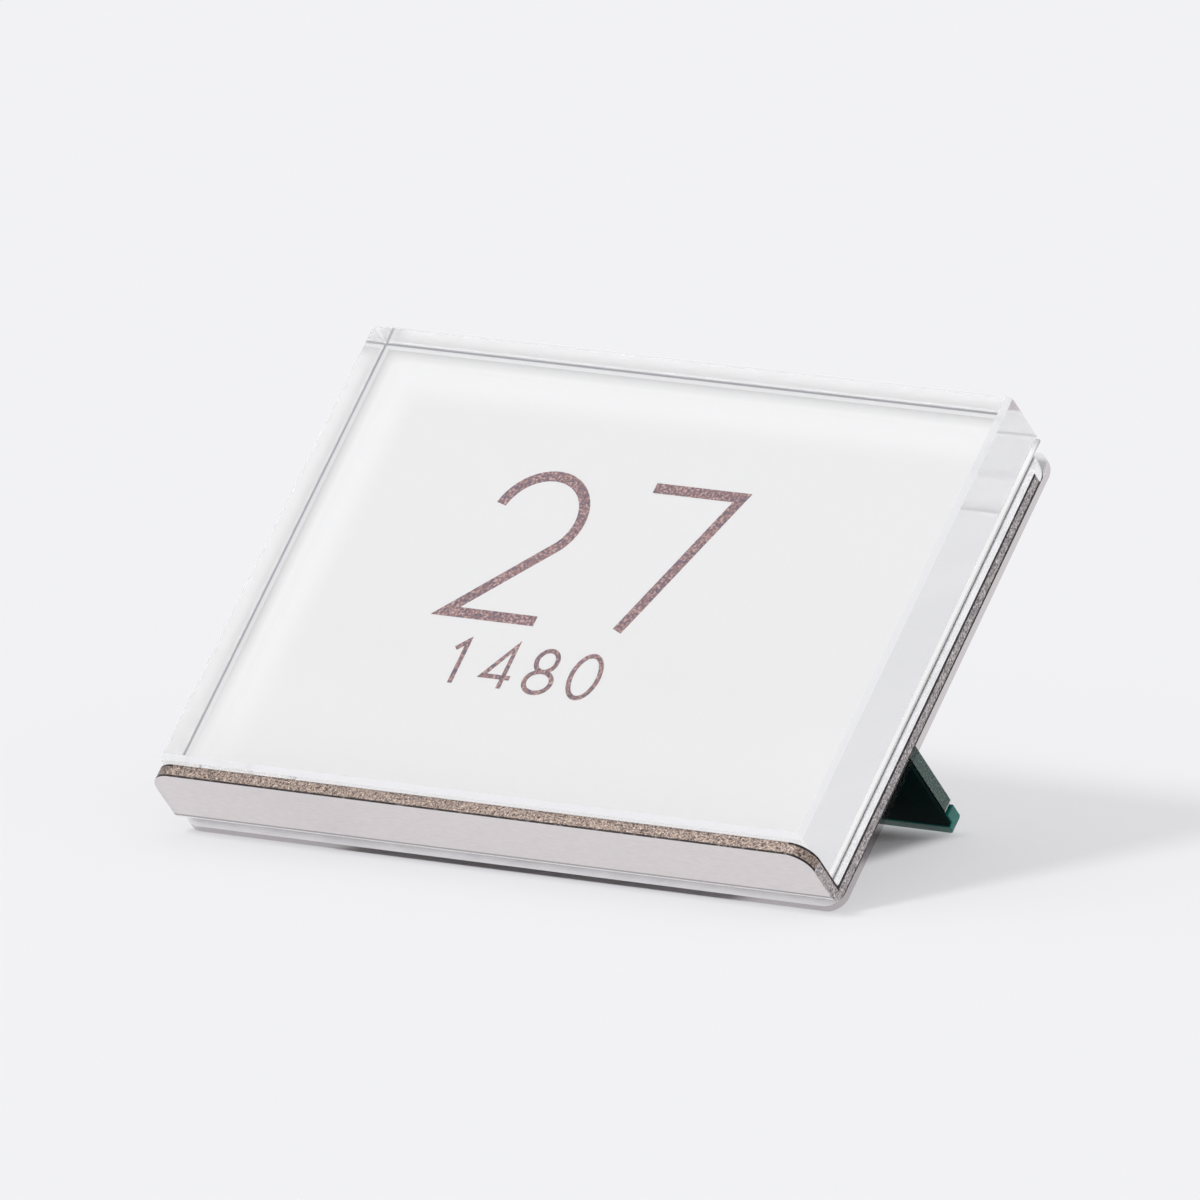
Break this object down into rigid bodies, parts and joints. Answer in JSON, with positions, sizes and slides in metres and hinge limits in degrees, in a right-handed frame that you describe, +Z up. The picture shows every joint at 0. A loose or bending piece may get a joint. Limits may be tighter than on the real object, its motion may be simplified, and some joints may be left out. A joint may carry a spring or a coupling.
{
  "type": "acrylic price tag stand",
  "caption": "Small leaning desk stand: a clear acrylic block and a printed card stand on the lip of a bent steel sheet whose cut-out tab is the rear leg.",
  "frame": {"origin": "centre of the stand's outline on the surface that it stands on", "axes": "+X to the right seen from the front, +Y to the rear where the leg stands, +Z up"},
  "size_m": [0.0532, 0.0328, 0.0317],
  "materials": {
    "clear_acrylic": "clear polished acrylic",
    "card": "pale printed card with thin brown and violet line art",
    "steel": "dull grained steel",
    "clear_sheet": "thin clear sheet",
    "dark_green": "very dark bottle green, satin",
    "teal": "deep green clear plastic strip"
  },
  "bodies": {
    "holder": {"steel_holder": "steel", "rear_guard": "clear_sheet", "leg_pad": "dark_green", "foot_cap": "teal"},
    "block": {"acrylic_block": "clear_acrylic"},
    "card": {"price_card": "card"}
  },
  "joints": [
    {"name": "block_lift", "type": "slide", "parent": "holder", "child": "block", "axis": [0, 0.707, 0.7072], "range_m": [0, 0.038]},
    {"name": "card_lift", "type": "slide", "parent": "holder", "child": "card", "axis": [0, 0.707, 0.7072], "range_m": [0, 0.038]}
  ]
}
